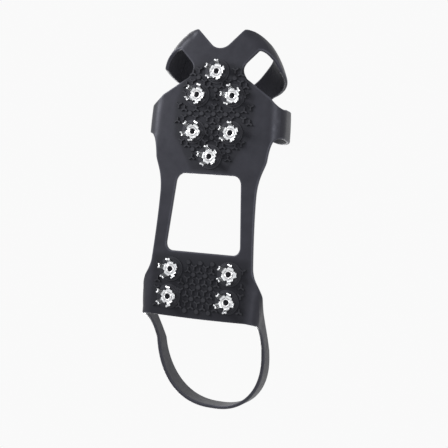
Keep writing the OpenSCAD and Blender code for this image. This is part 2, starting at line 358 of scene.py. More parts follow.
def put_mesh(name, points_mm, faces):
    """A mesh object at the origin from points in mm, all faces outwards, smooth but for its sharp edges."""
    mesh = bpy.data.meshes.new(name)
    mesh.from_pydata((np.asarray(points_mm)*MM).tolist(), [], [list(f) for f in faces])
    bm = bmesh.new()
    bm.from_mesh(mesh)
    bmesh.ops.recalc_face_normals(bm, faces=bm.faces)
    bm.to_mesh(mesh)
    bm.free()
    mesh.polygons.foreach_set("use_smooth", [True]*len(mesh.polygons))
    mesh.set_sharp_from_angle(angle=sharp_from)
    return linked(name, mesh)


def add_value(obj, name, values):
    """A number for each point of a mesh, for its material to read."""
    layer = obj.data.attributes.new(name, "FLOAT", "POINT")
    layer.data.foreach_set("value", np.asarray(values, np.float32))


def edge_profile(edge_r, shelf):
    """Steps round a rounded edge, from the outer face (0) to the inner one (1): (inset, face, lift, rim).

    At an angle a, inset is r (1 - sin a), lift is r (1 - cos a) and rim is 0.4 + 0.6 sin 2a."""
    turn = np.radians([0, 22.5, 45, 67.5, 90])
    arc = [(edge_r*(1 - math.sin(a)), edge_r*(1 - math.cos(a)), 0.4 + 0.6*math.sin(2*a)) for a in turn]
    outer = [(inset, 0, lift, rim) for inset, lift, rim in arc]
    inner = [(inset, 1, lift, rim) for inset, lift, rim in arc[::-1]]
    return [(edge_r + shelf, 0, 0, 0.0)] + outer + inner + [(edge_r + shelf, 1, 0, 0.0)]


# How near the points that fill a face come to a crease and to its outlines, in pitches
crease_gap, edge_gap = 0.55, 0.62


def filled(edges, pitch, creases):
    """Points that fill the outlines, pitch apart, and the triangles between them all.

    A triangle's corners count through the outlines' points first and then the new ones."""
    low = np.min([e.min(0) for e in edges], 0)
    high = np.max([e.max(0) for e in edges], 0)
    fill = lattice(low + 0.3*pitch, high, pitch)
    if creases is not None:
        fill = np.concatenate([fill[nearest(fill, creases) > crease_gap*pitch], creases])
    fill = fill[inside(fill, edges)]
    fill = fill[nearest(fill, np.concatenate(edges)) > edge_gap*pitch]
    flat = np.concatenate(edges + [fill])
    bounds, at = [], 0
    for e in edges:
        i = np.arange(len(e))
        bounds += np.stack([at + i, at + (i + 1) % len(e)], -1).tolist()
        at += len(e)
    made = delaunay_2d_cdt([Vector(p) for p in flat], bounds, [], 0, 1e-5)
    source = np.array([origin[0] if origin else -1 for origin in made[3]])
    tris = source[np.array(made[2])]
    tris = tris[(tris >= 0).all(1)]
    return fill, tris[inside(flat[tris].mean(1), edges)]


# Points that fall on one another when measured in this many steps to the millimetre are one point
weld_steps = 2000


def moulded(name, loops, to_space, thickness, pitch, edge_r, shelf=0.45, hollow=None, creases=None):
    """A skin over outlines in a flat plan: a rounded profile is carried round each outline, and its two
    faces are filled with points. to_space(plan, depth) gives each point its place, thickness(plan) is the
    outer face's depth, hollow(plan) is how far the inner face is let in, and creases are points along its
    steps. The attribute rim is 1 on the rounded edge and 0 on the faces."""
    def inner_depth(flat):
        return hollow(flat) if hollow else np.zeros(len(flat))
    steps = edge_profile(edge_r, shelf)
    plan, space, rims, quads, edges, outer, inner, count = [], [], [], [], [], [], [], 0
    for loop, cut in loops:
        shift = turned_in(loop, cut, to_space)
        in_cut = cut & np.roll(cut, 1) & np.roll(cut, -1)
        n = len(loop)
        i, j = np.arange(n), (np.arange(n) + 1) % n
        for k, (inset, face, lift, rim) in enumerate(steps):
            flat = loop + inset*shift
            depth = thickness(flat) - lift if face == 0 else inner_depth(flat) + lift
            plan.append(flat)
            space.append(to_space(flat, depth))
            rims.append(np.where(in_cut, 0.0, rim))
            if k:
                a, b = count + (k - 1)*n, count + k*n
                quads.append(np.stack([a + i, a + j, b + j, b + i], -1))
        edges.append(loop + steps[0][0]*shift)
        outer.append(count + i)
        inner.append(count + (len(steps) - 1)*n + i)
        count += n*len(steps)
    fill, tris = filled(edges, pitch, creases)
    new = np.arange(len(fill))
    outer = np.concatenate(outer + [count + new])
    inner = np.concatenate(inner + [count + len(fill) + new])
    space = np.concatenate(space + [to_space(fill, thickness(fill)), to_space(fill, inner_depth(fill))])
    plan = np.concatenate(plan + [fill, fill])
    rims = np.concatenate(rims + [np.zeros(2*len(fill))])
    # the rows of a cut lie on one another, so points at one place become one point
    _, first, same = np.unique(np.round(space*weld_steps), axis=0, return_index=True, return_inverse=True)
    same = same.reshape(-1)
    quads = same[np.concatenate(quads)]
    whole = (quads != np.roll(quads, 1, 1)).all(1)
    folded = quads[~whole]
    tris = np.concatenate([folded[:, [0, 1, 2]], folded[:, [0, 2, 3]],
                           same[outer[tris]], same[inner[tris][:, ::-1]]])
    tris = tris[(tris != np.roll(tris, 1, 1)).all(1)]
    obj = put_mesh(name, space[first], quads[whole].tolist() + tris.tolist())
    add_value(obj, "rim", rims[first])
    return obj, plan[first]


# The toe strap's edges as x against s: three cubics from the sole (s = 1) to the top (s = 0), of which
# the two of the side opening stop at the crotch. The back edge is straight but for its flared foot.
crotch = 0.14
front_run, arm_run, wing_run = (136.5, 141, 120, 113), (122.4, 122, 102, 95), (88.0, 76, 80, 88)
front_dip, front_dip_w = 10, 0.13
back_x, back_foot_x, back_flare, back_dip, back_dip_w = 59, 41.0, 0.07, 13, 0.15


def bump(s, width):
    """A smooth bump, e^(-(s/width)^2)."""
    return np.exp(-(s/width)**2)


def front_edge(s):
    """The front edge, with a dip in the middle of the top."""
    return cubic(*front_run, 1 - np.abs(s)) - front_dip*bump(s, front_dip_w)


def arm_inner(s):
    """The front edge of the side opening, which is the back of a front arm."""
    return cubic(*arm_run, (1 - np.abs(s))/(1 - crotch))


def wing_inner(s):
    """The back edge of the side opening, which is the front of a side wing."""
    return cubic(*wing_run, (1 - np.abs(s))/(1 - crotch))


def back_edge(s):
    """The back edge: back_x, less a flare that dies away from the sole, with a dip in the middle."""
    flare = (back_x - back_foot_x)*np.exp(-(1 - np.abs(s))/back_flare)
    return back_x - flare + back_dip*bump(s, back_dip_w)


# The sole skin takes in the first stretch of each strap, up to these cuts
toe_cut = 0.74
heel_cut = 0.09

# The heel strap's edges as (q, h), two cubics from its roots at the sole (v = 0) to its back (v = 1)
low_points = ([-0.3667, 0], [-0.30, 36], [0.25, 54], [1, 60])
high_points = ([-1.0333, 0], [-0.35, 8], [-0.15, 78], [1, 84])


def strap_low(v):
    """The heel strap's lower edge."""
    return cubic(*low_points, v)


def strap_high(v):
    """The heel strap's upper edge."""
    return cubic(*high_points, v)


def toe_plan(x_of, s):
    """An edge x_of(s) of the toe strap in the sole's flat plan."""
    x = x_of(s)
    return np.stack([x, flat_edge(x) + toe_bend_r*math.pi*(1 - s)], -1)


def heel_plan(edge, v):
    """An edge (q, h) of the heel strap in the sole's flat plan."""
    q, h = edge(v).T
    x = heel_turn_x - side_run*q
    return np.stack([x, flat_edge(x) + h], -1)


def cut_line(a, b):
    """The toe strap's cut from x = a to x = b in the sole's flat plan."""
    return toe_plan(lambda s: np.linspace(a, b, 40), toe_cut)


# Half of the sole's outline, from the notch between the front arms back to the middle of the heel
up_s, down_s = np.linspace(1, toe_cut, 30), np.linspace(toe_cut, 1, 60)
up_v, down_v = np.linspace(0, heel_cut, 20), np.linspace(heel_cut, 0, 20)
notch_x, notch_r = 136, 12
notch = np.radians(np.linspace(180, 135, 12))
opening_front, opening_back = [114, 24.6], [101.5, 25.2]
rail_y = 41.5
front_up, wing_up = toe_plan(front_edge, up_s), toe_plan(wing_inner, up_s)
arm_down, back_down = toe_plan(arm_inner, down_s), toe_plan(back_edge, down_s)
high_up, low_down = heel_plan(strap_high, up_v), heel_plan(strap_low, down_v)
half_sole = joined([
    (np.stack([notch_x + notch_r*np.cos(notch), notch_r*np.sin(notch)], -1), False),
    ([[127.51, 8.49], front_up[0]], False),
    (front_up, False),
    (cut_line(front_edge(toe_cut), arm_inner(toe_cut)), True),
    (arm_down, False),
    ([arm_down[-1], opening_front], False),
    (run_of(opening_front, [109.5, 20], [106, 21.5], opening_back), False),
    ([opening_back, wing_up[0]], False),
    (wing_up, False),
    (cut_line(wing_inner(toe_cut), back_edge(toe_cut)), True),
    (back_down, False),
    (run_of(back_down[-1], [35, 46.5], [29, rail_y], [14, rail_y]), False),
    (run_of([14, rail_y], [0, rail_y], [-20, 42.6], high_up[0]), False),
    (high_up, False),
    ([high_up[-1], low_down[0]], True),
    (low_down, False),
    (run_of(low_down[-1], [-78.3, 30], [-78.5, 15], [-78.6, 0]), False),
], outline_gap)
sole_loop = mirrored(*half_sole)

# The trapezium window between the rails: half length, and half widths at its front and back corners
window_x, window_front, window_back = 29.2, 27.6, 32.6
corner_r, corner_pull = 6.5, 0.42


def corner(p, a, b):
    """A rounded corner at p, from the direction a to the direction b."""
    pull = corner_pull*corner_r
    return run_of(p + corner_r*a, p + pull*a, p + pull*b, p + corner_r*b, 12)


front_corner, back_corner = np.array([window_x, window_front]), np.array([-window_x, window_back])
to_middle, window_side = np.array([0, -1.0]), unit(back_corner - front_corner)
half_window = np.concatenate([
    [[window_x, 0]], corner(front_corner, to_middle, window_side),
    corner(back_corner, -window_side, to_middle), [[-window_x, 0]]])
window_loop = mirrored(*uncut(even(half_window, outline_gap)), way=-1)

# The sole thins to the strap's thickness over the first stretch of each strap
toe_thin_over, heel_thin_over = 0.2*math.pi*toe_bend_r, 20.0


def sole_thickness(p):
    """From sole_t on the flat to strap_t at the end of that stretch, in proportion to the way up it."""
    past = np.maximum(np.abs(p[:, 1]) - flat_edge(p[:, 0]), 0)
    thin_over = np.where(p[:, 0] > 0, toe_thin_over, heel_thin_over)
    return sole_t - (sole_t - strap_t)*np.clip(past/thin_over, 0, 1)


# Steps in the foot side: a channel behind channel_x, and a round pocket for each washer
channel_w, channel_deep, channel_slope, channel_x = 24.0, 0.8, 0.3, -20
pocket_r, pocket_deep, pocket_slope, pocket_crease = 7.15, 1.5, 0.15, 0.16


def washer_centre(i):
    """The middle of a stud, from its washer's box, in x and y from the arch's middle."""
    low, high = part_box(f"washer_{i}")
    return np.array([(low.x + high.x)/2/MM - arch_x, (low.y + high.y)/2/MM])


stud_places = np.array([washer_centre(i) for i in range(1, 11)])
fore_studs, heel_studs = stud_places[:6], stud_places[6:]
stud_bodies = ["forefoot"]*len(fore_studs) + ["heel"]*len(heel_studs)


def foot_side(p):
    """How far the foot side is let in: channel_deep along the middle of the heel plate, and pocket_deep
    within pocket_r of each stud for its washer."""
    from_side = channel_w/2 + channel_slope - np.abs(p[:, 1])
    channel = channel_deep*np.clip(from_side/(2*channel_slope), 0, 1)*(p[:, 0] < channel_x)
    from_rim = pocket_r + pocket_slope - nearest(p*[stretch, 1], stud_places)
    return np.maximum(channel, pocket_deep*np.clip(from_rim/pocket_slope, 0, 1))


# Points along those steps, from the back of the heel plate to its front and round each pocket
crease_x = np.arange(-77, -29, sole_pitch)
crease = [np.stack([crease_x, np.full(len(crease_x), side*channel_w/2 + slope)], -1)
          for side in (-1, 1) for slope in (-channel_slope, channel_slope)]
crease += [(place + r*circle(40))/[stretch, 1]
           for place in stud_places for r in (pocket_r, pocket_r + pocket_crease)]
sole, sole_at = moulded("sole_skin", [sole_loop, window_loop], sole_point, sole_thickness, sole_pitch,
                        rubber_edge, hollow=foot_side, creases=np.concatenate(crease))

# Outlines of the two grip zones on the ice side: one round the six front studs, one over the heel plate
fore_zone = np.array([[124, 11], [119, 22], [106, 29.5], [86, 33.5], [64, 32.5], [48, 22], [36, 15]])
fore_zone = np.concatenate([fore_zone, fore_zone[::-1]*[1, -1]])
heel_zone = np.array([[-36.5, 40.5], [-84.5, 40.5], [-84.5, -40.5], [-36.5, -40.5]])
zone_soft = 2.5


def in_zone(p, zone):
    """1 inside a zone's outline, falling to 0 over the distance zone_soft outside it."""
    return np.where(inside(p, [zone]), 1.0, np.clip(1 - from_outline(p, zone)/zone_soft, 0, 1))


def node(tree, kind, links=None, **values):
    """A shader node with its settings and socket values, and its inputs linked from other nodes."""
    n = tree.nodes.new(kind)
    for key, value in values.items():
        if hasattr(n, key):
            setattr(n, key, value)
        else:
            n.inputs[key.replace("_", " ")].default_value = value
    for key, source in (links or {}).items():
        tree.links.new(source, n.inputs[key])
    return n


def shader(name):
    """A new material, its node tree, its surface shader and the place on the object in metres."""
    mat = bpy.data.materials.new(name)
    mat.use_nodes = True
    tree = mat.node_tree
    return mat, tree, tree.nodes["Principled BSDF"], node(tree, "ShaderNodeTexCoord").outputs["Object"]


def ramp(tree, fac, stops):
    """Colours that follow a value, from stops of (value, colour)."""
    n = tree.nodes.new("ShaderNodeValToRGB")
    tree.links.new(fac, n.inputs["Fac"])
    band = n.color_ramp
    while len(band.elements) < len(stops):
        band.elements.new(0.5)
    for e, (at, colour) in zip(band.elements, stops):
        e.position, e.color = at, (*colour, 1)
    return n.outputs["Color"]


def attribute(tree, name):
    """A value that add_value wrote on the mesh."""
    return node(tree, "ShaderNodeAttribute", attribute_name=name).outputs["Fac"]


def mixed(tree, share, base, colour):
    """base (1 - share) + colour share."""
    n = node(tree, "ShaderNodeMix", {0: share, 6: base}, data_type="RGBA")
    n.inputs[7].default_value = (*colour, 1)
    return n.outputs[2]


def spread(tree, fac, low, high):
    """The middle of a noise's range, 0.3 to 0.7, spread out from low to high."""
    return node(tree, "ShaderNodeMapRange", {"Value": fac}, From_Min=0.3, From_Max=0.7,
                To_Min=low, To_Max=high).outputs[0]


def gained(colour, gain):
    """A colour made brighter or darker by a factor."""
    return [gain*c for c in colour]


black, white = (0, 0, 0), (1, 1, 1)
# How much lighter the rims are painted (a painted highlight along with wear), how much darker the grip zone
# is painted as shade between its marks, and how much more matte it is
highlight_and_wear_gain, zone_shade_gain, zone_matte = 3.2, 0.4, 0.16
# Half the width of a mould line, as the attribute run measures it: its middle is where run is 0.5
line_half = 0.015


def moulded_rubber(name, dark, light, rough, lines=False):
    """Moulded rubber: clouded colour, a fine pitted grain, rims painted lighter in scuffed patches as a
    painted highlight along with wear, a grip zone painted darker as shade between its marks and made more
    matte, and on the straps the fine raised lines left by the mould."""
    mat, tree, bsdf, place = shader(name)
    cloud = node(tree, "ShaderNodeTexNoise", {"Vector": place}, Scale=38.0, Detail=4.0, Roughness=0.62)
    grain = node(tree, "ShaderNodeTexNoise", {"Vector": place}, Scale=1500.0, Detail=2.0, Roughness=0.5)
    scuff = node(tree, "ShaderNodeTexNoise", {"Vector": place}, Scale=170.0, Detail=6.0, Roughness=0.7)
    zone = attribute(tree, "grip")
    # Painted highlight along with wear: the rounded rims turn lighter where the scuff noise is high
    painted_light = node(tree, "ShaderNodeMath", {0: attribute(tree, "rim"), 1: scuff.outputs["Fac"]},
                operation="MULTIPLY").outputs[0]
    base = ramp(tree, cloud.outputs["Fac"], [(0.3, dark), (0.7, light)])
    base = mixed(tree, painted_light, base, gained(light, highlight_and_wear_gain))
    # Painted shade: the grip zone's floor between the marks is made darker
    base = mixed(tree, zone, base, gained(dark, zone_shade_gain))
    tree.links.new(base, bsdf.inputs["Base Color"])
    rubbed = spread(tree, scuff.outputs["Fac"], rough - 0.06, rough + 0.08)
    duller = node(tree, "ShaderNodeMath", {0: zone, 2: rubbed}, operation="MULTIPLY_ADD")
    duller.inputs[1].default_value = zone_matte
    tree.links.new(duller.outputs[0], bsdf.inputs["Roughness"])
    bsdf.inputs["Specular IOR Level"].default_value = 0.26
    bsdf.inputs["Specular Tint"].default_value = (0.84, 0.86, 1.0, 1)
    skin = node(tree, "ShaderNodeBump", {"Height": grain.outputs["Fac"]}, Strength=0.16, Distance=0.0002)
    if lines:
        pulse = ramp(tree, attribute(tree, "run"),
                     [(0.0, black), (0.5 - line_half, black), (0.5, white), (0.5 + line_half, black)])
        skin = node(tree, "ShaderNodeBump", {"Height": pulse, "Normal": skin.outputs[0]},
                    Strength=0.7, Distance=0.0004)
    tree.links.new(skin.outputs[0], bsdf.inputs["Normal"])
    return mat


rubber_dark, rubber_light = (0.009, 0.009, 0.0115), (0.015, 0.015, 0.019)
sole_rubber = moulded_rubber("sole rubber", rubber_dark, rubber_light, 0.42)
sole.data.materials.append(sole_rubber)
worn_at = sole_at*[stretch, 1]
# The grip zones, which the rubber paints darker as shade between the marks and makes more matte
add_value(sole, "grip", np.maximum(in_zone(worn_at, fore_zone), in_zone(worn_at, heel_zone)))
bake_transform(sole)
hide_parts("forefoot_sole", "heel_sole", "left_rail_front", "right_rail_front",
            "left_rail_rear", "right_rail_rear")

# -------- stud bosses and grip pattern
# Under each stud the rubber thickens to a round boss in two steps, and between the bosses stand
# the studless grips: round dots in six-sided cells of three-armed ribs. All are moulded with the sole.

plate_z = foot_z - sole_t
boss_h, boss_step = 1.5, 0.75
boss_bore_r, boss_r, boss_foot_r, boss_round = 2.9, 8.6, 10.2, 0.3
boss_top, boss_root = plate_z - boss_h, plate_z + 0.6


def turned(profile, places, sides=56):
    """Points and faces of a profile of (radius, height) turned about the upright axis at each place."""
    profile = np.asarray(profile, float)
    flat = profile[:, None, :1]*circle(sides)[None]
    body = np.concatenate([flat, np.broadcast_to(profile[:, None, 1:], flat.shape[:2] + (1,))], -1)
    m = len(profile)
    i, j = np.meshgrid(np.arange(m), np.arange(sides), indexing="ij")
    up, on = (i + 1) % m, (j + 1) % sides
    quads = np.stack([i*sides + j, i*sides + on, up*sides + on, up*sides + j], -1).reshape(-1, 4)
    points = [body.reshape(-1, 3) + [place[0] + arch_x, place[1], 0] for place in places]
    faces = [quads + k*m*sides for k in range(len(places))]
    return np.concatenate(points), np.concatenate(faces).tolist()


def rounded(corners, r, n=5):
    """A closed outline with each corner (radius, height) cut off by r and rounded."""
    corners = np.asarray(corners, float)
    out = []
    for before, at, after in zip(np.roll(corners, 1, 0), corners, np.roll(corners, -1, 0)):
        a, b = at + r*unit(before - at), at + r*unit(after - at)
        t = np.linspace(0, 1, n)[:, None]
        out.append((1 - t)**2*a + 2*t*(1 - t)*at + t*t*b)
    return np.concatenate(out)


boss_profile = rounded([
    [boss_bore_r, boss_top], [boss_r, boss_top], [boss_r, boss_top + boss_step],
    [boss_foot_r, boss_top + boss_step], [boss_foot_r, boss_root], [boss_bore_r, boss_root]], boss_round)

# A mark is left out where its middle is nearer than this to a stud or to its zone's outline
dot_clear, rib_clear = (12.0, 2.2), (10.6, 1.8)
grip_pitch, grip_h, grip_root = 10.4, 1.2, 0.3


def grip_marks(zone, studs, row_x):
    """Dots on a triangular lattice inside a zone, and a three-armed rib at each meeting of their cells.

    The lattice has a dot at (row_x, 0), and its rows are stretched apart as the harness is."""
    low, high = zone.min(0) - 2*grip_pitch, zone.max(0) + 2*grip_pitch
    rise = stretch*grip_pitch*math.sqrt(0.75)
    rows = np.arange(-math.ceil((row_x - low[0])/rise), math.ceil((high[0] - row_x)/rise))
    cols = np.arange(-math.ceil(-low[1]/grip_pitch), math.ceil(high[1]/grip_pitch) + 1)
    r, c = np.meshgrid(rows, cols, indexing="ij")
    dots = np.stack([row_x + r*rise, (c + (r % 2)*0.5)*grip_pitch], -1).reshape(-1, 2)
    fronts = dots + [rise/3, grip_pitch/2]
    backs = dots - [rise/3, -grip_pitch/2]

    def kept(p, clear):
        near_stud, near_edge = clear
        return p[inside(p, [zone]) & (nearest(p, studs) > near_stud) & (from_outline(p, zone) > near_edge)]
    return kept(dots, dot_clear), kept(fronts, rib_clear), kept(backs, rib_clear)


# A mark has narrowed by its draft at edge_h over its outer face, and by edge_draft drafts at that face
edge_h, edge_draft = 0.25, 1.7


def standing(outline, draft, places):
    """Grip marks of one outline at many places, narrower towards their lower, outer face."""
    n = len(outline)
    size = np.linalg.norm(outline, axis=1, keepdims=True)
    low, high = plate_z - grip_h, plate_z + grip_root
    layers = [(outline, high), (outline*(1 - draft/size), low + edge_h),
              (outline*(1 - edge_draft*draft/size), low)]
    body = np.concatenate([np.column_stack([p, np.full(n, z)]) for p, z in layers])
    i, j = np.arange(n), (np.arange(n) + 1) % n
    quads = [q for k in (0, 1)
             for q in np.stack([k*n + i, k*n + j, (k + 1)*n + j, (k + 1)*n + i], -1).tolist()]
    caps = [list(range(2*n, 3*n)), list(range(n))[::-1]]
    middles = np.column_stack([places, np.zeros(len(places))])[:, None] + [arch_x, 0, 0]
    faces = [[v + k*3*n for v in f] for k in range(len(places)) for f in quads + caps]
    return (body[None] + middles).reshape(-1, 3), faces


def three_arms(length, half):
    """Outline of a rib with three equal arms, the first along +x, whose sides meet at x = half/sqrt(3)."""
    blunt = length - 0.4*half
    arm = np.array([[0.58*half, -half], [blunt, -half], [length, -0.5*half], [length, 0.5*half],
                    [blunt, half]])
    return np.concatenate([turned_by(arm, 2*math.pi*k/3) for k in range(3)])


def stacked(parts):
    """Several (points, faces) pairs as one."""
    points, faces, at = [], [], 0
    for p, f in parts:
        points.append(p)
        faces += [[v + at for v in face] for face in f]
        at += len(p)
    return np.concatenate(points), faces


grip_rubber = moulded_rubber("grip rubber", (0.008, 0.008, 0.0095), (0.014, 0.014, 0.016), 0.5)
dot, dot_draft = 2.3*circle(18), 0.35
rib, rib_draft = three_arms(3.3, 0.8), 0.22
for body, zone, studs, row_x in (("forefoot", fore_zone, fore_studs, 81.7),
                                 ("heel", heel_zone, heel_studs, -60.5)):
    dots, fronts, backs = grip_marks(zone, studs, row_x)
    marks = [standing(dot, dot_draft, dots), standing(rib, rib_draft, fronts),
             standing(turned_by(rib, math.pi), rib_draft, backs)]
    grips = put_mesh(f"{body}_grip_pattern", *stacked(marks))
    bosses = put_mesh(f"{body}_stud_bosses", *turned(boss_profile, studs))
    for piece in (grips, bosses):
        piece.data.materials.append(grip_rubber)
        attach(piece, body)

# -------- toe strap
# Two front arms fold up over the toe and two side wings fold up behind them; all four meet in one
# X over the toe cap. They are part of the same moulding, 3 mm thick, shaped here by the boot.

# The way round the boot from the middle of its top against s, where the strap crosses at girth_x
girth_x = 95.0
s_table = np.linspace(0, 1, 2001)
a_table = way_along(toe_skin(np.full(len(s_table), girth_x), np.maximum(s_table, 1e-6)))


def toe_at(p, depth):
    """The toe strap's plan is x against the way round the boot from the middle of its top."""
    s = np.sign(p[:, 1])*np.interp(np.abs(p[:, 1]), a_table, s_table)
    return toe_point(p[:, 0], s, np.broadcast_to(depth, s.shape))


def round_boot(edge, s):
    """An edge x against s of the toe strap in that plan."""
    return np.stack([edge(s), np.interp(s, s_table, a_table)], -1)


def toe_cut_at(a, b):
    """The toe strap's cut from x = a to x = b in that plan."""
    return round_boot(lambda s: np.linspace(a, b, len(s)), np.full(12, toe_cut))


# The side opening's edges run up to crotch_s and then close in a round end, up to apex
crotch_s = 0.2
arms_s, up_all = np.linspace(toe_cut, crotch_s, 200), np.linspace(0, toe_cut, 300)
into, out_of = round_boot(arm_inner, arms_s)[-1], round_boot(wing_inner, arms_s[::-1])[0]
apex = np.interp(crotch, s_table, a_table) - 1.5
half_toe = joined([
    (round_boot(front_edge, up_all), False),
    (toe_cut_at(front_edge(toe_cut), arm_inner(toe_cut)), True),
    (round_boot(arm_inner, arms_s), False),
    (run_of(into, [into[0] - 1.5, apex], [out_of[0] + 0.5, apex], out_of), False),
    (round_boot(wing_inner, arms_s[::-1]), False),
    (toe_cut_at(wing_inner(toe_cut), back_edge(toe_cut)), True),
    (round_boot(back_edge, up_all[::-1]), False),
], outline_gap)
toe_strap, toe_plan_at = moulded("toe_strap", [mirrored(*half_toe)], toe_at,
                                 lambda p: np.full(len(p), strap_t), strap_pitch, rubber_edge)
strap_rubber = moulded_rubber("strap rubber", rubber_dark, rubber_light, 0.44, lines=True)
toe_strap.data.materials.append(strap_rubber)

run_span = 40
toe_line_at, heel_line_at = 0.62*a_table[-1], 44


def mark_line(obj, way, line_at):
    """The attribute run, 0.5 where way is line_at: 0.5 + (way - line_at)/run_span."""
    add_value(obj, "run", np.clip(0.5 + (way - line_at)/run_span, 0, 1))


mark_line(toe_strap, np.abs(toe_plan_at[:, 1]), toe_line_at)
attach(toe_strap, "forefoot")
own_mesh(toe_strap)
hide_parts("toe_cross", "toe_arm_front_left", "toe_arm_front_right",
            "toe_arm_rear_left", "toe_arm_rear_right")

# -------- heel strap
# The heel strap flares out of the heel plate's sides, narrows as it climbs, and closes in one band
# behind the heel. It is the same moulding, and it is pulled back by hand to let the boot in.

# The way forward from the back of the heel against q, at a height over the bend at the sole
girth_h = 30.0
q_table = np.linspace(1, -1.2, 2001)
b_table = way_along(heel_skin(q_table, np.full(len(q_table), girth_h)))


def heel_at(p, depth):
    """The heel strap's plan is the way forward from the back of the heel against the way up."""
    q = np.interp(np.abs(p[:, 0]), b_table, q_table)
    space = heel_point(q, p[:, 1], np.broadcast_to(depth, q.shape))
    space[:, 1] *= np.where(p[:, 0] < 0, -1, 1)
    return space


def round_heel(edge, v):
    """An edge (q, h) of the heel strap in that plan."""
    q, h = edge(v).T
    return np.stack([np.interp(-q, -q_table, b_table), h], -1)


def heel_thickness(p):
    """From sole_t at the sole to strap_t at the height heel_thin_over, in proportion to the way up."""
    return sole_t - (sole_t - strap_t)*np.clip(p[:, 1]/heel_thin_over, 0, 1)


band_v = np.linspace(heel_cut, 1, 300)
high_run, low_run = round_heel(strap_high, band_v), round_heel(strap_low, band_v)
half_heel = joined([
    (high_run[::-1], False),
    ([high_run[0], low_run[0]], True),
    (low_run, False),
], outline_gap)
heel_strap, heel_plan_at = moulded("heel_band", [mirrored(*half_heel, flip=(-1, 1))], heel_at,
                                   heel_thickness, strap_pitch, rubber_edge)
heel_strap.data.materials.append(strap_rubber)
mark_line(heel_strap, heel_plan_at[:, 1], heel_line_at)
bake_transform(heel_strap)
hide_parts("heel_strap", "heel_root_left", "heel_root_right")

# -------- star studs
# Each stud's star is stamped from 1.2 mm steel sheet, zinc plated: a round plate with five arms
# bent down to the ice, each with a slanted, nicked end. It is riveted fast at a turn of its own.

star_t, star_bore_r = 1.2, 2.75
star_gap, star_pitch, star_edge, star_shelf = 0.42, 0.8, 0.14, 0.06
star_z = boss_top - star_t
star_middle = star_z + star_t/2
star_turns = [8, -14, 22, 4, 31, -9, 17, -4, 27, 12]
# An arm bends on the radius bend_mid_r, from bend_at out, and its tip clears the ice by tip_gap
arm_angle = 2*math.pi/5
bend_at, bend_mid_r, bend_turn, tip_gap = 5.1, 1.1, math.radians(72), 0.12
straight_on = bend_at + bend_mid_r*bend_turn
arm_len = straight_on + (star_middle - bend_mid_r*(1 - math.cos(bend_turn)) - tip_gap)/math.sin(bend_turn)
# One arm's outline in the flat sheet, from its root out round its slanted, nicked end and back
arm_edge = np.array([
    [4.0, -2.75], [5.0, -2.6], [straight_on, -2.3], [arm_len - 0.8, -1.9], [arm_len - 0.5, -1.4],
    [arm_len - 1.4, 0.0], [arm_len, 1.0], [arm_len - 0.3, 1.75], [straight_on, 2.3], [5.0, 2.6],
    [4.0, 2.75]])


def star_outline():
    """The five arms' outlines in one, with points star_gap apart."""
    arms = [turned_by(arm_edge, k*arm_angle) for k in range(5)]
    return even(np.concatenate(arms + [arm_edge[:1]]), star_gap)[:-1]


def star_space(place, turn):
    """Bends the flat star: past bend_at an arm goes round a small arc and then straight down and outwards."""
    def to_space(p, depth):
        depth = np.broadcast_to(depth, p[:, 0].shape)
        arm = np.round(np.arctan2(p[:, 1], p[:, 0])/arm_angle)*arm_angle
        along = p[:, 0]*np.cos(arm) + p[:, 1]*np.sin(arm)
        across = -p[:, 0]*np.sin(arm) + p[:, 1]*np.cos(arm)
        bend = np.clip((along - bend_at)/bend_mid_r, 0, bend_turn)
        on = np.maximum(along - straight_on, 0)
        lift = depth - star_t/2
        out = np.minimum(along, bend_at) + on*math.cos(bend_turn) + (bend_mid_r + lift)*np.sin(bend)
        drop = bend_mid_r*(1 - np.cos(bend)) + on*math.sin(bend_turn) - lift*np.cos(bend)
        flat = np.stack([out*np.cos(arm) - across*np.sin(arm), out*np.sin(arm) + across*np.cos(arm)], -1)
        return np.column_stack([turned_by(flat, turn) + place + [arch_x, 0], star_middle - drop])
    return to_space


# How dark the painted shade on a star's legs and round its rivet is, as a share of the steel's dark colour
painted_shade_gain = 0.16


def plated_steel(name, dark, light, rough, grain, painted_light=False):
    """Bright zinc on pressed steel: a clouded spangle, fine drawn scratches and duller patches.

    On a star, the legs and the ring round the rivet are painted darker as shade, and the plate and tips stay
    bright."""
    mat, tree, bsdf, place = shader(name)
    cloud = node(tree, "ShaderNodeTexNoise", {"Vector": place}, Scale=260.0, Detail=5.0, Roughness=0.6)
    drawn = node(tree, "ShaderNodeMapping", {"Vector": place}, Scale=grain)
    scratch = node(tree, "ShaderNodeTexNoise", {"Vector": drawn.outputs[0]},
                   Scale=1.0, Detail=3.0, Roughness=0.6)
    base = ramp(tree, cloud.outputs["Fac"], [(0.32, dark), (0.62, light)])
    # On a star: painted shade on its legs and round its rivet, read from a mesh attribute
    if painted_light:
        base = mixed(tree, attribute(tree, "painted_shade"), base, gained(dark, painted_shade_gain))
    tree.links.new(base, bsdf.inputs["Base Color"])
    drawn_rough = spread(tree, scratch.outputs["Fac"], rough - 0.07, rough + 0.1)
    tree.links.new(drawn_rough, bsdf.inputs["Roughness"])
    skin = node(tree, "ShaderNodeBump", {"Height": scratch.outputs["Fac"]}, Strength=0.12, Distance=0.0002)
    tree.links.new(skin.outputs[0], bsdf.inputs["Normal"])
    bsdf.inputs["Metallic"].default_value = 1.0
    return mat


def rising(value, start, over):
    """0 up to start, rising to 1 over a distance."""
    return np.clip((value - start)/over, 0, 1)
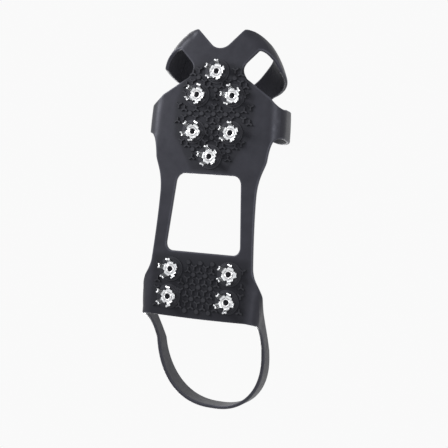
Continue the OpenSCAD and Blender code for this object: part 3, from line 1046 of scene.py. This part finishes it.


# Painted shade on a star's legs and in a ring round its rivet: how dark it is, and where it starts and ends
leg_shade, leg_from, leg_to, leg_soft = 0.9, straight_on + 0.2, arm_len - 1.1, 0.6
ring_shade, ring_r, ring_soft = 0.75, 4.1, 0.3
star_steel = plated_steel("star steel", (0.62, 0.63, 0.65), (0.86, 0.87, 0.88), 0.3, (400, 2600, 900),
                          painted_light=True)
star_loops = [uncut(star_outline()), uncut(star_bore_r*circle(36)*[1, -1])]
for i, (place, body, turn) in enumerate(zip(stud_places, stud_bodies, star_turns), 1):
    star, star_at = moulded(f"star_stud_{i}", star_loops, star_space(place, math.radians(turn)),
                            lambda p: np.full(len(p), star_t), star_pitch, star_edge, star_shelf)
    out = np.linalg.norm(star_at, axis=1)
    # Painted shade: darker on the legs, and in a ring round the rivet
    on_leg = rising(out, leg_from, leg_soft)*rising(-out, -leg_to, leg_soft)
    add_value(star, "painted_shade", np.maximum(leg_shade*on_leg, ring_shade*rising(-out, -ring_r, ring_soft)))
    star.data.materials.append(star_steel)
    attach(star, body)
    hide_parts(f"star_{i}")

# -------- rivets
# A semi-tubular steel rivet clenches each star: its open end is rolled back over the star in a
# bright ring round a blind hole, and its low flat head sits over the washer on the foot side.

rivet_steel = plated_steel("rivet steel", (0.66, 0.66, 0.68), (0.9, 0.9, 0.91), 0.22, (900, 900, 900))
washer_t, washer_z = 0.9, foot_z - pocket_deep
washer_top = washer_z + washer_t
# The turned section is a closed outline, which leaves a pinhole of this radius along the axis
axis_r = 0.02
hole_r, shank_r, head_r = 2.1, 2.7, 3.6
roll_r, roll_mid_r, roll_z = 0.78, 2.92, star_z - 0.12
roll = np.radians(np.linspace(-20, 200, 14))
hole = [[axis_r, washer_z - 0.3], [1.6, washer_z - 0.35], [hole_r - 0.05, washer_z - 0.8],
        [hole_r, star_z + 1.0]]
rolled_lip = np.stack([roll_mid_r - roll_r*np.cos(roll), roll_z - roll_r*np.sin(roll)], -1)
shank = [[shank_r, star_z + 0.1], [shank_r, washer_top - 0.05]]
flat_head = [[head_r - 0.05, washer_top], [head_r, foot_z - 0.25], [head_r - 0.2, foot_z - 0.05],
             [axis_r, foot_z]]
rivet_profile = np.concatenate([hole, rolled_lip, shank, flat_head])
for i, (place, body) in enumerate(zip(stud_places, stud_bodies), 1):
    rivet = put_mesh(f"rivet_body_{i}", *turned(rivet_profile, [place], 48))
    rivet.data.materials.append(rivet_steel)
    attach(rivet, body)
    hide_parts(f"rivet_{i}")

# -------- washers
# A flat round steel washer spreads each rivet's pull on the foot side. It is let into the rubber,
# with a turned-down rim and a shallow pressed ring round the rivet's head.

washer_steel = plated_steel("washer steel", (0.6, 0.61, 0.63), (0.82, 0.83, 0.84), 0.3, (500, 2200, 500))
washer_r, washer_bore_r = 7.0, 2.75
# Its section as (radius, height over its underside): bore, rim, flat face and pressed ring
washer_profile = np.array([
    [washer_bore_r, 0], [washer_r, 0], [washer_r, 0.55], [washer_r - 0.1, 0.78],
    [washer_r - 0.4, washer_t], [4.7, washer_t], [4.5, 0.8], [4.3, 0.72], [4.1, 0.8], [3.9, washer_t],
    [washer_bore_r, washer_t]]) + [0, washer_z]
for i, (place, body) in enumerate(zip(stud_places, stud_bodies), 1):
    washer = put_mesh(f"backing_washer_{i}", *turned(washer_profile, [place]))
    washer.data.materials.append(washer_steel)
    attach(washer, body)
    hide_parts(f"washer_{i}")

# -------- floor, lights and camera
# A pale floor that shows only from above, so that the sole can be seen from below, a white room,
# and soft lights over and under the floor.

floor_half, floor_z = 3, -0.0005
floor_corners = [(x*floor_half, y*floor_half, floor_z) for x, y in ((-1, -1), (1, -1), (1, 1), (-1, 1))]
floor_mesh = bpy.data.meshes.new("floor")
floor_mesh.from_pydata(floor_corners, [], [(0, 1, 2, 3)])
floor = linked("floor", floor_mesh)
mat, tree, bsdf, _ = shader("pale floor")
bsdf.inputs["Base Color"].default_value = (0.82, 0.82, 0.82, 1)
bsdf.inputs["Roughness"].default_value = 0.7
clear = node(tree, "ShaderNodeBsdfTransparent")
either = node(tree, "ShaderNodeMixShader", {0: node(tree, "ShaderNodeNewGeometry").outputs["Backfacing"],
                                           1: bsdf.outputs[0], 2: clear.outputs[0]})
tree.links.new(either.outputs[0], tree.nodes["Material Output"].inputs["Surface"])
floor.data.materials.append(mat)
floor.visible_shadow = floor.visible_diffuse = floor.visible_glossy = floor.visible_transmission = False
floor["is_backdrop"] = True

world = bpy.data.worlds.new("white room")
bpy.context.scene.world = world
world.use_nodes = True
sky = world.node_tree.nodes["Background"]
sky.inputs["Color"].default_value = (1, 1, 1, 1)
sky.inputs["Strength"].default_value = 0.95
bpy.context.scene.view_settings.view_transform = "Standard"

centre = Vector([(a + b)/2 for a, b in zip(*cad_box)])


def soft_light(name, place, size, power):
    """A round light at a place from the object's centre, in metres, turned to face it."""
    light = bpy.data.lights.new(name, "AREA")
    light.shape, light.size, light.energy = "DISK", size, power
    obj = linked(name, light)
    obj.location = centre + Vector(place)
    obj.rotation_euler = (centre - obj.location).to_track_quat("-Z", "Y").to_euler()


soft_light("under_left", (0.3, -0.5, -0.35), 0.3, 5)
soft_light("under_right", (0.2, 0.6, -0.75), 0.4, 5)
soft_light("over_key", (-0.6, -0.6, 1.0), 0.6, 9)
soft_light("over_fill", (0.7, -0.8, 0.7), 0.6, 5)

# The camera looks up at the sole, nearly 20 degrees to one side of straight on, and leans a little
camera_data = bpy.data.cameras.new("camera")
camera = linked("camera", camera_data)
bpy.context.scene.camera = camera
aim = Vector((0.001, 0.008, 0.036))
camera.location = Vector((arch_x*MM - 0.020, 0.252, foot_z*MM - 0.690))
lean = math.radians(5)
view = (aim - camera.location).normalized()
right = view.cross(Vector((1, 0, 0))).normalized()
up = right.cross(view)
right, up = right*math.cos(lean) + up*math.sin(lean), up*math.cos(lean) - right*math.sin(lean)
camera.rotation_euler = Matrix((right, up, -view)).transposed().to_euler()
camera_data.sensor_width = 36
camera_data.lens = 72
camera_data.clip_start = 0.01

[[list(map(float, corner_at)) for corner_at in b] for b in (cad_box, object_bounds())]
